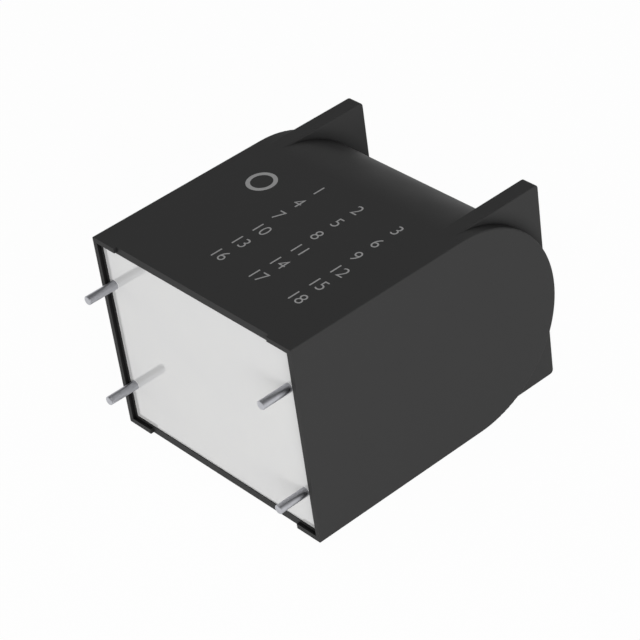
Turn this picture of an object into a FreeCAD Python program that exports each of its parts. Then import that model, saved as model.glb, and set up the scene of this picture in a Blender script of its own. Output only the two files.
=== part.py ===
"""Box film capacitor with four round leads, a round closed end and two end ribs.

Units are millimetres. The origin is the middle of the lead pattern on the seating plane,
which is the plane of the four corner feet. X runs along the length of the box, Z points out
of the printed broad face, and Y points away from the circuit board, so the leads point to -Y.
"""

import FreeCAD
import Part
import math
import os

# Case, outside
CASE_LENGTH = 57.5
CASE_DEPTH = 45.0
CASE_HEIGHT = 65.2
CASE_EDGE_RADIUS = 0.25

# End ribs, which square off the round end and stand a little in from each end face
RIB_THICKNESS = 3.7
RIB_INSET = 2.35
RIB_SHORT_OF_CREST = 0.05
RIB_CORNER_RADIUS = 0.9

# Case, wall and rim
WALL = 1.7
CORE_DRAFT = 0.3
FOOT_HEIGHT = 0.75
FOOT_THICKNESS = 1.1
FOOT_LENGTH = 6.6

# Potting resin
RESIN_BELOW_RIM = 0.2
RESIN_OVER_ROLL = 4.0
RESIN_ROUND_ROLL = 1.5

# Leads: tinned round wire, with its tail pressed flat on the side that meets the end spray.
# The gap is from a lead to the inner end wall, the inset from a broad face to its row of leads.
LEAD_DIAMETER = 1.9
LEAD_END_GAP = 0.6
LEAD_ROW_INSET = 10.3
LEAD_LENGTH = 6.0
LEAD_TIP_CHAMFER = 0.12
LEAD_FLAT = 0.3
LEAD_OVERLAP = 13.0

# Sprayed contact layers and solder joints
SPRAY_THICKNESS = 0.8
SOLDER_LENGTH = 10.0
SOLDER_FULL_LENGTH = 4.0
SOLDER_WIDTH = 5.0
SOLDER_COVER = 0.3

# Longer than anything on the part, for cutting tools, and how near counts as touching
BEYOND = 200.0
TOUCHING = 1e-4

# Worked out from the sizes above
HALF_LENGTH = CASE_LENGTH / 2
HALF_DEPTH = CASE_DEPTH / 2
SPRINGING = CASE_HEIGHT - HALF_DEPTH
RIM = FOOT_HEIGHT
RESIN_LEVEL = RIM + RESIN_BELOW_RIM
CORE_HALF_LENGTH = HALF_LENGTH - WALL
CORE_HALF_DEPTH = HALF_DEPTH - WALL
CROWN_RADIUS = CORE_HALF_DEPTH - CORE_DRAFT
ROLL_RADIUS = CROWN_RADIUS - RESIN_ROUND_ROLL
ROLL_BOTTOM = RESIN_LEVEL + RESIN_OVER_ROLL
ROLL_LOWER_CENTRE = ROLL_BOTTOM + ROLL_RADIUS
LEAD_RADIUS = LEAD_DIAMETER / 2
LEAD_X = CORE_HALF_LENGTH - LEAD_END_GAP - LEAD_RADIUS
LEAD_Z = HALF_DEPTH - LEAD_ROW_INSET
SPRAY_FACE = LEAD_X - LEAD_RADIUS + LEAD_FLAT
FILM_HALF_WIDTH = SPRAY_FACE - SPRAY_THICKNESS
ROLL_EDGE_AT_LEAD = ROLL_LOWER_CENTRE - math.sqrt(ROLL_RADIUS ** 2 - LEAD_Z ** 2)
LEAD_TAIL_END = ROLL_EDGE_AT_LEAD + LEAD_OVERLAP
SOLDER_MIDDLE = LEAD_TAIL_END - SOLDER_LENGTH / 2 - LEAD_RADIUS
SOLDER_HEIGHT = LEAD_DIAMETER - LEAD_FLAT + SOLDER_COVER
SOLDER_RADIUS = (SOLDER_HEIGHT ** 2 + (SOLDER_WIDTH / 2) ** 2) / (2 * SOLDER_HEIGHT)
SOLDER_AXIS_DEPTH = SOLDER_RADIUS - SOLDER_HEIGHT

SIDES = {"left": -1, "right": 1}
ROWS = {"top": 1, "bottom": -1}


def point(x, y, z):
    return FreeCAD.Vector(x, y, z)


def line(start, end):
    return Part.LineSegment(start, end).toShape()


def arc(start, middle, end):
    return Part.Arc(start, middle, end).toShape()


def extrude_x(edges, x_start, x_end):
    """Solid between two X positions with the closed YZ outline that the edges make."""
    wire = Part.Wire(edges)
    wire.translate(point(x_start, 0, 0))
    return Part.Face(wire).extrude(point(x_end - x_start, 0, 0))


def box_between(low, high):
    size = high.sub(low)
    return Part.makeBox(size.x, size.y, size.z, low)


def arched_outline(base, springing, half_at_base, half_at_springing):
    """Flat at the base, straight sides up to the springing, then half a circle."""
    corners = [
        point(0, base, half_at_base),
        point(0, springing, half_at_springing),
        point(0, springing, -half_at_springing),
        point(0, base, -half_at_base),
    ]
    crest = point(0, springing + half_at_springing, 0)
    return [
        line(corners[0], corners[1]),
        arc(corners[1], crest, corners[2]),
        line(corners[2], corners[3]),
        line(corners[3], corners[0]),
    ]


def roll_outline():
    """Race-track section of the flattened film roll."""
    low, high, radius = ROLL_LOWER_CENTRE, SPRINGING, ROLL_RADIUS
    return [
        line(point(0, low, radius), point(0, high, radius)),
        arc(point(0, high, radius), point(0, high + radius, 0), point(0, high, -radius)),
        line(point(0, high, -radius), point(0, low, -radius)),
        arc(point(0, low, -radius), point(0, low - radius, 0), point(0, low, radius)),
    ]


def is_on_plane(edge, axis, value):
    low = getattr(edge.BoundBox, axis + "Min")
    high = getattr(edge.BoundBox, axis + "Max")
    return abs(low - value) < TOUCHING and abs(high - value) < TOUCHING


def make_case_body():
    """Outer block with the round end, its outline softened at both end faces."""
    outline = arched_outline(0, SPRINGING, HALF_DEPTH, HALF_DEPTH)
    body = extrude_x(outline, -HALF_LENGTH, HALF_LENGTH)
    soft = []
    for edge in body.Edges:
        on_end = is_on_plane(edge, "X", -HALF_LENGTH) or is_on_plane(edge, "X", HALF_LENGTH)
        if on_end and not is_on_plane(edge, "Y", 0):
            soft.append(edge)
    return body.makeFillet(CASE_EDGE_RADIUS, soft)


def make_rib(side):
    """One end rib: a plate as deep as the case, with rounded corners beside the round end."""
    top = CASE_HEIGHT - RIB_SHORT_OF_CREST
    outer = HALF_LENGTH - RIB_INSET
    inner = outer - RIB_THICKNESS
    plate = box_between(point(inner, FOOT_HEIGHT, -HALF_DEPTH), point(outer, top, HALF_DEPTH))
    corners = []
    for edge in plate.Edges:
        along_x = edge.BoundBox.XLength > RIB_THICKNESS / 2
        if along_x and is_on_plane(edge, "Y", top):
            corners.append(edge)
    plate = plate.makeFillet(RIB_CORNER_RADIUS, corners)
    rims = []
    for edge in plate.Edges:
        on_face = is_on_plane(edge, "X", inner) or is_on_plane(edge, "X", outer)
        if on_face and not is_on_plane(edge, "Y", FOOT_HEIGHT):
            rims.append(edge)
    plate = plate.makeFillet(CASE_EDGE_RADIUS, rims)
    if side < 0:
        plate = plate.mirror(point(0, 0, 0), point(1, 0, 0))
    return plate


def make_core():
    """The hollow of the case: drafted on all four sides, with a round closed end."""
    outline = arched_outline(RIM, SPRINGING, CORE_HALF_DEPTH, CROWN_RADIUS)
    across = extrude_x(outline, -CORE_HALF_LENGTH, CORE_HALF_LENGTH)
    crown = SPRINGING + CROWN_RADIUS
    narrow = CORE_HALF_LENGTH - CORE_DRAFT
    wedge = Part.makePolygon([
        point(-CORE_HALF_LENGTH, RIM, -HALF_DEPTH),
        point(CORE_HALF_LENGTH, RIM, -HALF_DEPTH),
        point(narrow, crown, -HALF_DEPTH),
        point(-narrow, crown, -HALF_DEPTH),
        point(-CORE_HALF_LENGTH, RIM, -HALF_DEPTH),
    ])
    lengthwise = Part.Face(wedge).extrude(point(0, 0, CASE_DEPTH))
    return across.common(lengthwise)


def make_rim_step():
    """Space inside the thin lip, and the cut-backs in the long sides that leave four feet."""
    lip = box_between(
        point(-HALF_LENGTH + FOOT_THICKNESS, 0, -HALF_DEPTH + FOOT_THICKNESS),
        point(HALF_LENGTH - FOOT_THICKNESS, FOOT_HEIGHT, HALF_DEPTH - FOOT_THICKNESS),
    )
    between = HALF_LENGTH - FOOT_LENGTH
    cut_back = box_between(
        point(-between, 0, -HALF_DEPTH),
        point(between, FOOT_HEIGHT, HALF_DEPTH),
    )
    return lip.fuse(cut_back)


def make_case(core):
    shell = make_case_body()
    for side in SIDES.values():
        shell = shell.fuse(make_rib(side))
    return shell.cut([core, make_rim_step()]).removeSplitter()


def make_roll():
    return extrude_x(roll_outline(), -FILM_HALF_WIDTH, FILM_HALF_WIDTH)


def make_spray(side):
    return extrude_x(roll_outline(), side * FILM_HALF_WIDTH, side * SPRAY_FACE)


def make_lead(side, row):
    """Straight wire: free end with a broken edge, buried tail with one flat.

    The two are joined with an edge left between them, at the seating plane.
    """
    x, z = side * LEAD_X, row * LEAD_Z
    upwards = point(0, 1, 0)
    free_end = Part.makeCylinder(LEAD_RADIUS, LEAD_LENGTH, point(x, -LEAD_LENGTH, z), upwards)
    tip = [edge for edge in free_end.Edges if is_on_plane(edge, "Y", -LEAD_LENGTH)]
    free_end = free_end.makeChamfer(LEAD_TIP_CHAMFER, tip)
    tail = Part.makeCylinder(LEAD_RADIUS, LEAD_TAIL_END, point(x, 0, z), upwards)
    low = point(min(side * SPRAY_FACE, 0), ROLL_BOTTOM, z - LEAD_DIAMETER)
    high = point(max(side * SPRAY_FACE, 0), LEAD_TAIL_END, z + LEAD_DIAMETER)
    return free_end.fuse(tail.cut(box_between(low, high)))


def make_solder(side, row, lead):
    """Low mound on the sprayed face, tapered at both ends, with the lead's tail through it."""
    face, middle, z = side * SPRAY_FACE, SOLDER_MIDDLE, row * LEAD_Z
    axis = face - side * SOLDER_AXIS_DEPTH
    crest = axis + side * SOLDER_RADIUS
    profile = Part.makePolygon([
        point(axis, middle - SOLDER_LENGTH / 2, z),
        point(crest, middle - SOLDER_FULL_LENGTH / 2, z),
        point(crest, middle + SOLDER_FULL_LENGTH / 2, z),
        point(axis, middle + SOLDER_LENGTH / 2, z),
        point(axis, middle - SOLDER_LENGTH / 2, z),
    ])
    spindle = Part.Face(profile).revolve(point(axis, middle, z), point(0, 1, 0), 360)
    low = point(min(face, side * BEYOND), -BEYOND, -BEYOND)
    high = point(max(face, side * BEYOND), BEYOND, BEYOND)
    return spindle.common(box_between(low, high)).cut(lead)


def make_resin(core, buried):
    above = box_between(point(-BEYOND, RESIN_LEVEL, -BEYOND), point(BEYOND, BEYOND, BEYOND))
    return core.common(above).cut(buried)


def build():
    parts = {"film_winding": make_roll()}
    for side_name, side in SIDES.items():
        parts["end_spray_" + side_name] = make_spray(side)
        for row_name, row in ROWS.items():
            lead = make_lead(side, row)
            parts["lead_" + side_name + "_" + row_name] = lead
            parts["solder_joint_" + side_name + "_" + row_name] = make_solder(side, row, lead)
    core = make_core()
    parts["potting_resin"] = make_resin(core, list(parts.values()))
    parts["case"] = make_case(core)
    return parts


os.makedirs("parts", exist_ok=True)
for name, shape in build().items():
    print(name, "solids", len(shape.Solids), "valid", shape.isValid(), "mm3", round(shape.Volume, 1))
    shape.exportStep("parts/" + name + ".step")
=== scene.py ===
"""Looks of the box film capacitor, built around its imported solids.

Everything is in the frame of the solids: X runs along the box, Y from the circuit board to the round
closed end, and Z out of the printed face. The leads point to -Y. Lengths are in metres, and in
millimetres where a name ends in _mm.
"""

import logging
import math
from abc import ABC, abstractmethod
from collections.abc import Callable, Iterator
from contextlib import contextmanager
from dataclasses import dataclass, field
from enum import Enum

import bmesh
import bpy
from mathutils import Matrix, Vector


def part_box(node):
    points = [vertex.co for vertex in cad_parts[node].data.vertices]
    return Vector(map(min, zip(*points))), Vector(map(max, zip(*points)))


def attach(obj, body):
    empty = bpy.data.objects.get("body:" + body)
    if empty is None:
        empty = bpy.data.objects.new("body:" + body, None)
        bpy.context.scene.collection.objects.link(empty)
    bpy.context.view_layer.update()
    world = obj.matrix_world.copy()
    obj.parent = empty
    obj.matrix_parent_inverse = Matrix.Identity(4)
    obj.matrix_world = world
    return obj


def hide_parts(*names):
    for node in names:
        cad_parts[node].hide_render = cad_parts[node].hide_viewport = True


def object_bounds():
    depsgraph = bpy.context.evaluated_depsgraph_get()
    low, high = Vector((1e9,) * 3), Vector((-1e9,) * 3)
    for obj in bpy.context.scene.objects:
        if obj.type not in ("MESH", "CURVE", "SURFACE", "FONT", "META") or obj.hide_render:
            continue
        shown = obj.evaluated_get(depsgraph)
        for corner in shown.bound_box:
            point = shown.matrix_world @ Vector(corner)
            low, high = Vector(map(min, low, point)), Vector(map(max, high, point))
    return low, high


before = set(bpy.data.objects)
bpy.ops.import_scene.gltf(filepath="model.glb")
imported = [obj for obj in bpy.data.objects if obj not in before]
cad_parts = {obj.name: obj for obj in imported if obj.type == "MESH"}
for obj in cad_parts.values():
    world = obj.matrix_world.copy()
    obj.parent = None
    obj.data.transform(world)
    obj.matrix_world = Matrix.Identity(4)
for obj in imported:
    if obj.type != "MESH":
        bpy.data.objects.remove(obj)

CAD_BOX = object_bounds()
MM = 0.001
BODY = "root"
CASE_NODE = "case"
RESIN_NODE = "potting_resin"
WORLD_UP = Vector((0.0, 0.0, 1.0))

# How near counts as the same place, well under the smallest step of the part
NEAR = 0.01 * MM

# A face is square to an axis if the cosine between the axis and its normal is over this
SQUARE = 0.99

# How near two points are to be one, in a solid's mesh and in the finer mesh of the ink
SOLID_SEAM = 0.001 * MM
INK_SEAM = 0.0001 * MM

# Nearly all values of a noise pattern lie between these
NOISE_LOW = 0.3
NOISE_HIGH = 0.7

# The sRGB curve: straight up to its knee, and a power beyond it
SRGB_KNEE = 0.04045
SRGB_SLOPE = 12.92
SRGB_OFFSET = 0.055
SRGB_POWER = 2.4

# The colour sockets of the mixing node, which share their names with its number sockets
MIX_LOW = 6
MIX_HIGH = 7
MIX_RESULT = 2

log = logging.getLogger("film_capacitor")


class Slot(Enum):
    """The record's material slots; no piece here takes its finish from them."""

    RESIN = "resin"


class Element(Enum):
    """What edit mode can select here, with its name in a mesh."""

    VERT = "verts"
    FACE = "faces"


class Side(Enum):
    """The two ends of the box along X."""

    LEFT = "left"
    RIGHT = "right"


class Row(Enum):
    """The two rows of leads, by the broad face that is nearer."""

    TOP = "top"
    BOTTOM = "bottom"


# The lowest and the highest corner of a piece
Box = tuple[Vector, Vector]


def at_corners(kind: str) -> list[str]:
    """Lists the nodes of one kind, one for each corner of the lead pattern.

    Args:
        kind: What their names start with.

    Returns:
        The four names.
    """
    return [f"{kind}_{side.value}_{row.value}" for side in Side for row in Row]


# Nodes and colours


def linear_colour(srgb: str) -> tuple[float, float, float, float]:
    """Turns an sRGB hex colour to a linear one.

    Args:
        srgb: The colour as "#RRGGBB".

    Returns:
        Linear red, green and blue, and an alpha of 1.
    """
    channels = [int(srgb[start:start + 2], 16) / 255 for start in (1, 3, 5)]
    linear = [
        value / SRGB_SLOPE
        if value <= SRGB_KNEE
        else ((value + SRGB_OFFSET) / (1.0 + SRGB_OFFSET)) ** SRGB_POWER
        for value in channels
    ]
    return (*linear, 1.0)


def add_node(
    tree: bpy.types.NodeTree,
    kind: str,
    inputs: dict[str | int, object] | None = None,
    **settings: object,
) -> bpy.types.Node:
    """Adds a node with its settings, its socket values and its links.

    Args:
        tree: The tree that gets the node.
        kind: The node's type name.
        inputs: For each input socket, a value, or another node's output to link to it.
        **settings: Attributes of the node itself.

    Returns:
        The new node.
    """
    node = tree.nodes.new(kind)
    for name, value in settings.items():
        setattr(node, name, value)
    for socket, value in (inputs or {}).items():
        if isinstance(value, bpy.types.NodeSocket):
            tree.links.new(value, node.inputs[socket])
        else:
            node.inputs[socket].default_value = value
    return node


# Finishes


@dataclass(frozen=True)
class Unevenness:
    """An irregular pattern that is fixed to the object, with the real width of its features.

    The detail is how many finer patterns lie over it, and the stretch how much longer its features
    are along each axis.
    """

    size_mm: float
    detail: float = 2.0
    stretch: tuple[float, float, float] = (1.0, 1.0, 1.0)

    def value(self, tree: bpy.types.NodeTree) -> bpy.types.NodeSocket:
        """Adds the pattern's nodes.

        Args:
            tree: The material's node tree.

        Returns:
            The pattern's value, mostly between NOISE_LOW and NOISE_HIGH.
        """
        place = add_node(tree, "ShaderNodeTexCoord").outputs["Object"]
        shares = tuple(1.0 / longer for longer in self.stretch)
        mapped = add_node(tree, "ShaderNodeMapping", {"Vector": place, "Scale": shares})
        inputs = {
            "Vector": mapped.outputs["Vector"],
            "Scale": 1.0 / (self.size_mm * MM),
            "Detail": self.detail,
        }
        return add_node(tree, "ShaderNodeTexNoise", inputs).outputs["Fac"]


@dataclass(frozen=True)
class Finish(ABC):
    """A surface of the object, named for its real material."""

    name: str

    def material(self) -> bpy.types.Material:
        """Gives this finish's material and builds it the first time.

        Returns:
            The material, shared by every piece with this finish.
        """
        known = bpy.data.materials.get(self.name)
        if known is not None:
            return known
        made = bpy.data.materials.new(self.name)
        made.use_nodes = True
        made.node_tree.nodes.clear()
        surface = self.surface(made.node_tree)
        add_node(made.node_tree, "ShaderNodeOutputMaterial", {"Surface": surface})
        return made

    @abstractmethod
    def surface(self, tree: bpy.types.NodeTree) -> bpy.types.NodeSocket:
        """Adds the finish's nodes.

        Args:
            tree: The material's empty node tree.

        Returns:
            The shader output for the surface.
        """


@dataclass(frozen=True)
class SolidFinish(Finish):
    """A solid surface: its colour and roughness drift a little, over a fine relief.

    The relief's depth is the height between the pattern's 0 and 1, in millimetres.
    """

    colours: tuple[str, str]
    roughness: tuple[float, float]
    drift: Unevenness
    relief: Unevenness
    relief_mm: float

    @abstractmethod
    def constants(self) -> dict[str, float]:
        """Gives the shader's values that are the same all over the surface."""

    def colour(
        self, tree: bpy.types.NodeTree, share: bpy.types.NodeSocket
    ) -> bpy.types.NodeSocket:
        """Adds the drifting colour.

        Args:
            tree: The material's node tree.
            share: How far the colour has drifted, from 0 to 1.

        Returns:
            The colour.
        """
        low, high = map(linear_colour, self.colours)
        inputs = {"Factor": share, MIX_LOW: low, MIX_HIGH: high}
        return add_node(tree, "ShaderNodeMix", inputs, data_type="RGBA").outputs[MIX_RESULT]

    def surface(self, tree: bpy.types.NodeTree) -> bpy.types.NodeSocket:
        """Adds the drifting colour and roughness and the relief.

        Args:
            tree: The material's empty node tree.

        Returns:
            The shader output for the surface.
        """
        inputs = {
            "Value": self.drift.value(tree),
            "From Min": NOISE_LOW,
            "From Max": NOISE_HIGH,
        }
        share = add_node(tree, "ShaderNodeMapRange", inputs).outputs["Result"]
        low, high = self.roughness
        inputs = {"Value": share, "To Min": low, "To Max": high}
        roughness = add_node(tree, "ShaderNodeMapRange", inputs).outputs["Result"]
        inputs = {"Height": self.relief.value(tree), "Distance": self.relief_mm * MM}
        bent = add_node(tree, "ShaderNodeBump", inputs).outputs["Normal"]
        inputs = {
            "Base Color": self.colour(tree, share),
            "Roughness": roughness,
            "Normal": bent,
            **self.constants(),
        }
        return add_node(tree, "ShaderNodeBsdfPrincipled", inputs).outputs["BSDF"]


@dataclass(frozen=True)
class MetalFinish(SolidFinish):
    """A bare metal surface."""

    def constants(self) -> dict[str, float]:
        """Makes it a metal."""
        return {"Metallic": 1.0}


@dataclass(frozen=True)
class MouldedPolyester(SolidFinish):
    """Filled polyester, injection moulded in a spark-eroded tool: an even satin black.

    The melt's flow leaves broad, faint differences. The walls of the hollow are painted a deeper
    black as painted shade, and inner corners are darkened by painted shade.
    """

    name: str = "moulded_polyester"
    colours: tuple[str, str] = ("#303030", "#323232")
    roughness: tuple[float, float] = (0.53, 0.59)
    drift: Unevenness = Unevenness(9.0)
    # A real spark-eroded grain is about 0.05 mm, drawn at 0.3 mm so that it shows
    relief: Unevenness = Unevenness(0.3, detail=3.0)
    relief_mm: float = 0.006
    # Painted shade: the hollow's walls get this deeper black
    hollow_shade_colour: str = "#1A1A1A"
    # The resin fills the hollow, so its far corner tells how far the hollow reaches
    hollow_reach: Vector = field(default_factory=lambda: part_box(RESIN_NODE)[1])
    # A wall is the hollow's if it faces the middle of the box from over this share of that reach
    hollow_share: float = 0.9
    # The painted shade in inner corners: how far and with how many rays it looks for nearby surfaces
    corner_shade_reach_mm: float = 3.0
    corner_shade_rays: int = 8

    def constants(self) -> dict[str, float]:
        """Gives the low gloss of a filled plastic with a fine texture."""
        return {"Specular IOR Level": 0.13}

    def hollow_shade_mask(self, tree: bpy.types.NodeTree) -> bpy.types.NodeSocket:
        """Adds the mask of the painted shade: walls facing the box's middle from as far as the
        hollow's.

        Args:
            tree: The material's node tree.

        Returns:
            1 on those walls and 0 elsewhere.
        """
        reach = self.hollow_reach
        place = add_node(tree, "ShaderNodeTexCoord").outputs
        pair = {0: place["Object"], 1: (1.0 / reach.x, 0.0, 1.0 / reach.z)}
        share = add_node(tree, "ShaderNodeVectorMath", pair, operation="MULTIPLY")
        pair = {0: share.outputs["Vector"], 1: place["Normal"]}
        outwards = add_node(tree, "ShaderNodeVectorMath", pair, operation="DOT_PRODUCT")
        pair = {0: outwards.outputs["Value"], 1: -self.hollow_share}
        return add_node(tree, "ShaderNodeMath", pair, operation="LESS_THAN").outputs["Value"]

    def colour(
        self, tree: bpy.types.NodeTree, share: bpy.types.NodeSocket
    ) -> bpy.types.NodeSocket:
        """Adds the drifting black, with painted shade deeper in the hollow and in inner corners.

        Args:
            tree: The material's node tree.
            share: How far the colour has drifted, from 0 to 1.

        Returns:
            The colour.
        """
        # Painted shade: the hollow's walls are given the deeper black
        inputs = {
            "Factor": self.hollow_shade_mask(tree),
            MIX_LOW: super().colour(tree, share),
            MIX_HIGH: linear_colour(self.hollow_shade_colour),
        }
        walls = add_node(tree, "ShaderNodeMix", inputs, data_type="RGBA").outputs[MIX_RESULT]
        # Painted shade: an occlusion node darkens the colour in inner corners
        inputs = {"Color": walls, "Distance": self.corner_shade_reach_mm * MM}
        settings = {"samples": self.corner_shade_rays, "only_local": True}
        corners = add_node(tree, "ShaderNodeAmbientOcclusion", inputs, **settings)
        return corners.outputs["Color"]


@dataclass(frozen=True)
class CastResin(SolidFinish):
    """Filled casting resin that set level in air: white, with a glossy skin that is hardly wavy."""

    name: str = "cast_resin"
    colours: tuple[str, str] = ("#D5D5D5", "#D7D7D6")
    roughness: tuple[float, float] = (0.05, 0.08)
    drift: Unevenness = Unevenness(12.0)
    relief: Unevenness = Unevenness(7.0, detail=0.0)
    relief_mm: float = 0.01

    def constants(self) -> dict[str, float]:
        """Gives a resin's refraction and its clear skin."""
        return {"IOR": 1.6, "Coat Weight": 1.0, "Coat Roughness": 0.02, "Coat IOR": 1.6}


@dataclass(frozen=True)
class TinnedCopper(MetalFinish):
    """Hot-tinned copper wire: a cool satin silver with a soft mottle and fine draw lines."""

    name: str = "tinned_copper"
    colours: tuple[str, str] = ("#BFC0C5", "#B7B8BD")
    roughness: tuple[float, float] = (0.34, 0.42)
    drift: Unevenness = Unevenness(0.8)
    # Real draw lines are under 0.02 mm apart, drawn at 0.12 mm so that they show
    relief: Unevenness = Unevenness(0.12, stretch=(1.0, 40.0, 1.0))
    relief_mm: float = 0.002


@dataclass(frozen=True)
class TinSolder(MetalFinish):
    """Tin solder that froze in the air: bright, with a frosty skin of 0.4 mm crystals."""

    name: str = "tin_solder"
    colours: tuple[str, str] = ("#B9BCC0", "#A9ADB2")
    roughness: tuple[float, float] = (0.22, 0.42)
    drift: Unevenness = Unevenness(0.4, detail=4.0)
    relief: Unevenness = Unevenness(0.4, detail=4.0)
    relief_mm: float = 0.03


@dataclass(frozen=True)
class SprayedZinc(MetalFinish):
    """Zinc sprayed on the roll's ends in 0.15 mm drops: dull grey, rough as fine sandpaper."""

    name: str = "sprayed_zinc"
    colours: tuple[str, str] = ("#8E9092", "#A3A5A6")
    roughness: tuple[float, float] = (0.6, 0.8)
    drift: Unevenness = Unevenness(0.15, detail=3.0)
    relief: Unevenness = Unevenness(0.15, detail=3.0)
    relief_mm: float = 0.06


@dataclass(frozen=True)
class MetallisedFilm(MetalFinish):
    """Polypropylene film with a metal coat, rolled up: a dark silver with a soft sheen.

    Its faint bands run round the roll, where the film was wound a little tighter.
    """

    name: str = "metallised_film"
    colours: tuple[str, str] = ("#9A9DA0", "#B2B5B7")
    roughness: tuple[float, float] = (0.25, 0.35)
    drift: Unevenness = Unevenness(1.5, stretch=(1.0, 30.0, 30.0))
    relief: Unevenness = Unevenness(1.5, stretch=(1.0, 30.0, 30.0))
    relief_mm: float = 0.02


@dataclass(frozen=True)
class PadPrintInk(SolidFinish):
    """Pad-printing ink: a thin matt light grey film, where a little of the black comes through."""

    name: str = "pad_print_ink"
    colours: tuple[str, str] = ("#9C9C9C", "#A6A6A6")
    roughness: tuple[float, float] = (0.55, 0.65)
    drift: Unevenness = Unevenness(0.5, detail=3.0)
    relief: Unevenness = Unevenness(0.2, detail=3.0)
    relief_mm: float = 0.002

    def constants(self) -> dict[str, float]:
        """Gives the low gloss of a matt ink."""
        return {"Specular IOR Level": 0.3}


@dataclass(frozen=True)
class StudioPaper(Finish):
    """White seamless paper under the part, which shows plain white and takes its shadow."""

    name: str = "studio_paper"
    tone: str = "#F2F2F2"
    plain_share: float = 0.97

    def surface(self, tree: bpy.types.NodeTree) -> bpy.types.NodeSocket:
        """Adds a white sheet that the camera and the gloss see almost plain white.

        Args:
            tree: The material's empty node tree.

        Returns:
            The shader output for the surface.
        """
        sheet = add_node(tree, "ShaderNodeBsdfDiffuse", {"Color": linear_colour(self.tone)})
        white = add_node(tree, "ShaderNodeEmission", {"Strength": 1.0})
        path = add_node(tree, "ShaderNodeLightPath").outputs
        seen = path["Is Camera Ray"]
        for other in ("Is Glossy Ray", "Is Transmission Ray"):
            pair = {0: seen, 1: path[other]}
            seen = add_node(tree, "ShaderNodeMath", pair, operation="MAXIMUM").outputs["Value"]
        inputs = {0: seen, 1: self.plain_share}
        share = add_node(tree, "ShaderNodeMath", inputs, operation="MULTIPLY").outputs["Value"]
        inputs = {0: share, 1: sheet.outputs["BSDF"], 2: white.outputs["Emission"]}
        return add_node(tree, "ShaderNodeMixShader", inputs).outputs["Shader"]


# Modelling


def pick_only(piece: bpy.types.Object) -> None:
    """Deselects everything, then selects one piece and makes it active.

    Args:
        piece: The piece that the next operators act on.
    """
    for thing in bpy.context.selected_objects:
        thing.select_set(False)
    piece.select_set(True)
    bpy.context.view_layer.objects.active = piece


@contextmanager
def editing(piece: bpy.types.Object, element: Element) -> Iterator[None]:
    """Opens a piece in edit mode with nothing selected, and closes it again.

    Args:
        piece: The mesh to shape.
        element: What the operators select.

    Yields:
        Nothing. The piece is in edit mode meanwhile.
    """
    pick_only(piece)
    bpy.ops.object.mode_set(mode="EDIT")
    bpy.ops.mesh.select_mode(type=element.name)
    bpy.ops.mesh.select_all(action="DESELECT")
    yield
    bpy.ops.object.mode_set(mode="OBJECT")


def select_in_edit(
    piece: bpy.types.Object, element: Element, test: Callable[[object], bool]
) -> int:
    """Selects the points or faces of a mesh in edit mode that pass a test.

    Args:
        piece: The mesh, in edit mode.
        element: Which of its elements are tested.
        test: Says of each one whether it is wanted.

    Returns:
        How many were selected.
    """
    shape = bmesh.from_edit_mesh(piece.data)
    wanted = [part for part in getattr(shape, element.value) if test(part)]
    for part in wanted:
        part.select_set(True)
    shape.select_flush_mode()
    bmesh.update_edit_mesh(piece.data)
    return len(wanted)


def settle(piece: bpy.types.Object) -> None:
    """Moves a piece's place into its mesh, so that its object sits at the origin.

    Args:
        piece: The finished mesh.
    """
    pick_only(piece)
    bpy.ops.object.transform_apply(location=True, rotation=True, scale=True)


def close_seams(piece: bpy.types.Object, nearer_than: float) -> None:
    """Merges a mesh's doubles and turns its faces outwards.

    Args:
        piece: The mesh.
        nearer_than: The distance within which two points are one.
    """
    with editing(piece, Element.VERT):
        bpy.ops.mesh.select_all(action="SELECT")
        bpy.ops.mesh.remove_doubles(threshold=nearer_than)
        bpy.ops.mesh.normals_make_consistent(inside=False)


def finish_piece(
    piece: bpy.types.Object, name: str, finish: Finish
) -> None:
    """Names and dresses a piece and lets it ride on the part.

    Args:
        piece: The finished mesh.
        name: The piece's name.
        finish: The finish of its whole surface.
    """
    piece.name = piece.data.name = name
    piece.data.materials.clear()
    piece.data.materials.append(finish.material())
    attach(piece, BODY)
    log.info("%s: %d faces, %s", name, len(piece.data.polygons), finish.name)


def copy_of_solid(name: str) -> bpy.types.Object:
    """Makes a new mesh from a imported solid, to shape it further.

    Args:
        name: The solid's node.

    Returns:
        The copy, with its doubles merged. The solid itself is left as it is.
    """
    piece = bpy.data.objects.new(name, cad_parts[name].data.copy())
    bpy.context.scene.collection.objects.link(piece)
    pick_only(piece)
    bpy.ops.mesh.customdata_custom_splitnormals_clear()
    close_seams(piece, SOLID_SEAM)
    return piece


def dress_node(name: str, finish: Finish) -> None:
    """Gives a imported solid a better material.

    Args:
        name: The solid's node.
        finish: Its finish.
    """
    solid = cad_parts[name]
    solid.data.materials.clear()
    solid.data.materials.append(finish.material())
    log.info("%s: packed solid, %s", name, finish.name)


# Sub-assemblies


class SubAssembly(ABC):
    """Pieces that are built and dressed together."""

    @abstractmethod
    def build(self) -> None:
        """Builds the pieces and dresses them."""


@dataclass
class MouldedCase(SubAssembly):
    """The black box with its round closed end, two end ribs and stepped rim."""

    node: str = CASE_NODE
    finish: Finish = field(default_factory=MouldedPolyester)

    def build(self) -> None:
        """Dresses the moulded box."""
        dress_node(self.node, self.finish)


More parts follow.
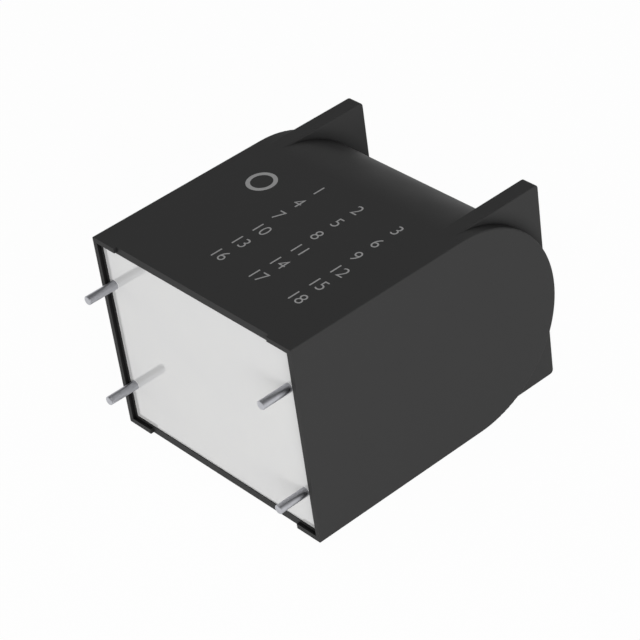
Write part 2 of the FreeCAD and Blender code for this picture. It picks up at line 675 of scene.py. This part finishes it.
@dataclass
class ResinFill(SubAssembly):
    """The resin that closes the mouth. While wet it crept a little up the wall and the wires."""

    node: str = RESIN_NODE
    finish: Finish = field(default_factory=CastResin)
    box: Box = field(default_factory=lambda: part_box(RESIN_NODE))
    wires: list[Box] = field(default_factory=lambda: [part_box(name) for name in at_corners("lead")])
    wall_creep: float = 0.03 * MM
    wire_creep: float = 0.05 * MM
    creep_width: float = 0.12 * MM
    rings: int = 5
    smooth_below: float = math.radians(40.0)

    def build(self) -> None:
        """Shapes the mouth of a copy of the solid and dresses it."""
        fill = copy_of_solid(self.node)
        # One ring more than the creep is wide, so that the face inside it stays level
        insets = self.rings + 1
        with editing(fill, Element.FACE):
            count = select_in_edit(fill, Element.FACE, self.is_mouth)
            for _ in range(insets):
                bpy.ops.mesh.inset(thickness=self.creep_width / self.rings)
        log.info("mouth of the resin: %d faces inset %d times", count, insets)
        self.draw_up(fill, self.is_wall_edge, self.wall_creep)
        self.draw_up(fill, self.is_wire_edge, self.wire_creep)
        pick_only(fill)
        bpy.ops.object.shade_smooth_by_angle(angle=self.smooth_below)
        finish_piece(fill, "resin_fill", self.finish)
        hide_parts(self.node)

    def is_mouth(self, face: bmesh.types.BMFace) -> bool:
        """Tells the level face at the mouth from the others."""
        height = face.calc_center_median().y
        return face.normal.y < -SQUARE and abs(height - self.box[0].y) < NEAR

    def on_mouth(self, point: bmesh.types.BMVert) -> bool:
        """Tells the points on the level face from the others."""
        return abs(point.co.y - self.box[0].y) < NEAR

    def is_wall_edge(self, point: bmesh.types.BMVert) -> bool:
        """Tells the points where the level face meets the case wall.

        Args:
            point: A point of the resin.

        Returns:
            Whether it is on that edge.
        """
        low, high = self.box
        room = min(point.co.x - low.x, high.x - point.co.x, point.co.z - low.z, high.z - point.co.z)
        return self.on_mouth(point) and room < NEAR

    def is_wire_edge(self, point: bmesh.types.BMVert) -> bool:
        """Tells the points where the level face meets a wire.

        Args:
            point: A point of the resin.

        Returns:
            Whether it is on such an edge.
        """
        if not self.on_mouth(point):
            return False
        for low, high in self.wires:
            middle, radius = (low + high) / 2, (high.x - low.x) / 2
            away = math.hypot(point.co.x - middle.x, point.co.z - middle.z)
            if abs(away - radius) < NEAR:
                return True
        return False

    def draw_up(
        self,
        fill: bpy.types.Object,
        test: Callable[[bmesh.types.BMVert], bool],
        height: float,
    ) -> None:
        """Pulls an edge of the level face outwards, and its neighbourhood less and less.

        Args:
            fill: The resin.
            test: Says which points are on the edge.
            height: How far the edge creeps.
        """
        with editing(fill, Element.VERT):
            count = select_in_edit(fill, Element.VERT, test)
            bpy.ops.transform.translate(
                value=(0.0, -height, 0.0),
                use_proportional_edit=True,
                use_proportional_connected=True,
                proportional_edit_falloff="SHARP",
                proportional_size=self.creep_width,
            )
        log.info("%d points of the resin drawn up by %.2f mm", count, height / MM)


@dataclass
class WoundElement(SubAssembly):
    """The roll of film with its sprayed ends and solder joints, all inside the resin."""

    roll: str = "film_winding"
    film: Finish = field(default_factory=MetallisedFilm)
    spray: Finish = field(default_factory=SprayedZinc)
    solder: Finish = field(default_factory=TinSolder)

    def build(self) -> None:
        """Dresses the hidden pieces, which a cut-open part shows."""
        dress_node(self.roll, self.film)
        for side in Side:
            dress_node(f"end_spray_{side.value}", self.spray)
        for name in at_corners("solder_joint"):
            dress_node(name, self.solder)


@dataclass
class LeadSet(SubAssembly):
    """The four straight wires."""

    finish: Finish = field(default_factory=TinnedCopper)

    def build(self) -> None:
        """Dresses the four wires."""
        for name in at_corners("lead"):
            dress_node(name, self.finish)


@dataclass
class FacePrint(SubAssembly):
    """A table of plain numbers and a ring, pad-printed on the broad face.

    The table counts along its rows. Places on the face are from the frame's origin, and the first
    place is where the first number's foot line begins.
    """

    face: float = field(default_factory=lambda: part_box(CASE_NODE)[1].z)
    finish: Finish = field(default_factory=PadPrintInk)
    # The ink stands out of the face by this much, and goes as far into it
    thickness: float = 0.01 * MM
    columns: int = 3
    rows: int = 6
    column_pitch: float = 11.0 * MM
    row_pitch: float = 5.2 * MM
    first_place: tuple[float, float] = (-6.5 * MM, 36.3 * MM)
    digit_height: float = 3.0 * MM
    # Height of a digit for a letter size of 1, in the plain built-in letters
    digit_share: float = 0.727
    # How much narrower a stroke is than in the built-in letters, on each of its sides
    stroke_trim: float = 0.04 * MM
    # Straight pieces to each curved piece of a digit's outline
    curve_steps: int = 6
    ring_centre: tuple[float, float] = (-17.0 * MM, 33.0 * MM)
    ring_radius: float = 3.2 * MM
    ring_stroke: float = 0.9 * MM
    ring_points: int = 96

    def build(self) -> None:
        """Builds the columns of the table and the ring."""
        for column in range(self.columns):
            self.print_column(column)
        self.print_ring()

    def print_column(self, column: int) -> None:
        """Builds one column of numbers as a thin film on the face.

        Args:
            column: Which column, from 0.
        """
        numbers = range(column + 1, self.columns * self.rows + 1, self.columns)
        left, foot = self.first_place
        size = self.digit_height / self.digit_share
        bpy.ops.object.text_add(location=(left + column * self.column_pitch, foot, self.face))
        letters = bpy.context.object
        letters.data.body = "\n".join(map(str, numbers))
        letters.data.size = size
        letters.data.space_line = self.row_pitch / size
        letters.data.extrude = self.thickness
        letters.data.offset = -self.stroke_trim
        letters.data.resolution_u = self.curve_steps
        pick_only(letters)
        bpy.ops.object.convert(target="MESH")
        film = bpy.context.object
        settle(film)
        close_seams(film, INK_SEAM)
        finish_piece(film, f"print_column_{column + 1}", self.finish)

    def print_ring(self) -> None:
        """Builds the ring from a thin disc: both faces are inset and the gap is bridged."""
        bpy.ops.mesh.primitive_cylinder_add(
            vertices=self.ring_points,
            radius=self.ring_radius,
            depth=2 * self.thickness,
            end_fill_type="NGON",
            location=(*self.ring_centre, self.face),
        )
        film = bpy.context.object
        with editing(film, Element.FACE):
            select_in_edit(film, Element.FACE, lambda face: abs(face.normal.z) > SQUARE)
            bpy.ops.mesh.inset(thickness=self.ring_stroke)
            bpy.ops.mesh.bridge_edge_loops()
        settle(film)
        close_seams(film, INK_SEAM)
        finish_piece(film, "print_ring", self.finish)


# Studio


@dataclass
class Studio:
    """The white floor, the plain sky and the soft lamp."""

    # The floor lies a hair under the part, so that the two never share a plane
    floor_gap: float = 0.05 * MM
    floor_size: float = 6.0
    horizon: float = 0.97
    zenith: float = 0.26
    # The sky is even from here up, where the horizon is 0 and straight up is 1
    even_above: float = 0.8
    lamp_place: tuple[float, float, float] = (0.62, -0.335, 0.26)
    lamp_size: float = 0.5
    lamp_watts: float = 4.35
    aim: tuple[float, float, float] = (0.0, 0.025, 0.0)

    def build(self) -> None:
        """Builds the floor, the sky and the lamp."""
        self.lay_floor()
        self.hang_sky()
        self.place_lamp()

    def lay_floor(self) -> None:
        """Lays the white paper that the part lies on."""
        height = CAD_BOX[0][2] - self.floor_gap
        bpy.ops.mesh.primitive_plane_add(size=self.floor_size, location=(0.0, 0.0, height))
        paper = bpy.context.object
        settle(paper)
        paper.name = "studio_floor"
        paper.data.materials.append(StudioPaper().material())

    def hang_sky(self) -> None:
        """Lights the part from all round, more from the horizon than from overhead."""
        sky = bpy.data.worlds.new("studio_sky")
        bpy.context.scene.world = sky
        sky.use_nodes = True
        tree = sky.node_tree
        tree.nodes.clear()
        place = add_node(tree, "ShaderNodeTexCoord").outputs["Generated"]
        height = add_node(tree, "ShaderNodeSeparateXYZ", {0: place}).outputs["Z"]
        inputs = {
            "Value": height,
            "From Max": self.even_above,
            "To Min": self.horizon,
            "To Max": self.zenith,
        }
        level = add_node(tree, "ShaderNodeMapRange", inputs, interpolation_type="SMOOTHSTEP")
        inputs = {"Color": (1.0, 1.0, 1.0, 1.0), "Strength": level.outputs["Result"]}
        glow = add_node(tree, "ShaderNodeBackground", inputs)
        add_node(tree, "ShaderNodeOutputWorld", {"Surface": glow.outputs["Background"]})

    def place_lamp(self) -> None:
        """Hangs a soft square lamp off the right end, a little to the lead side."""
        panel = bpy.data.lights.new("soft_panel", "AREA")
        panel.size = self.lamp_size
        panel.energy = self.lamp_watts
        lamp = bpy.data.objects.new("soft_panel", panel)
        bpy.context.scene.collection.objects.link(lamp)
        lamp.location = self.lamp_place
        lamp.rotation_mode = "QUATERNION"
        away = Vector(self.lamp_place) - Vector(self.aim)
        lamp.rotation_quaternion = away.to_track_quat("Z", "Y")
        # The gloss shows only the plain surroundings, as in an even studio
        lamp.visible_glossy = False


@dataclass
class StudioCamera:
    """The photograph's view. Angles are in degrees, the focal length in pixels of the image."""

    azimuth: float = 52.995
    elevation: float = 35.611
    roll: float = -8.509
    distance: float = 486.516 * MM
    focal_pixels: float = 2547.06
    image_pixels: int = 640
    target: tuple[float, float, float] = (5.642 * MM, 24.974 * MM, 4.146 * MM)
    sensor_mm: float = 36.0

    def build(self) -> None:
        """Places the camera and makes it the scene's."""
        azimuth, elevation, roll = map(math.radians, (self.azimuth, self.elevation, self.roll))
        across = math.cos(elevation)
        back = Vector((math.sin(azimuth) * across, -math.cos(azimuth) * across, math.sin(elevation)))
        right = (-back).cross(WORLD_UP).normalized()
        up = right.cross(-back)
        turned = (
            right * math.cos(roll) + up * math.sin(roll),
            up * math.cos(roll) - right * math.sin(roll),
            back,
        )
        lens = bpy.data.cameras.new("studio_camera")
        lens.sensor_width = self.sensor_mm
        lens.lens = self.focal_pixels / self.image_pixels * self.sensor_mm
        lens.dof.use_dof = False
        camera = bpy.data.objects.new("studio_camera", lens)
        bpy.context.scene.collection.objects.link(camera)
        place = Vector(self.target) + back * self.distance
        camera.matrix_world = Matrix.Translation(place) @ Matrix(turned).transposed().to_4x4()
        bpy.context.scene.camera = camera


def main() -> None:
    """Builds the studio and the part's sub-assemblies in order."""
    logging.basicConfig(level=logging.INFO, format="%(name)s: %(message)s")
    bpy.context.scene.view_settings.view_transform = "Standard"
    StudioCamera().build()
    Studio().build()
    for assembly in (MouldedCase(), ResinFill(), WoundElement(), LeadSet(), FacePrint()):
        assembly.build()


if __name__ == "__main__":
    main()
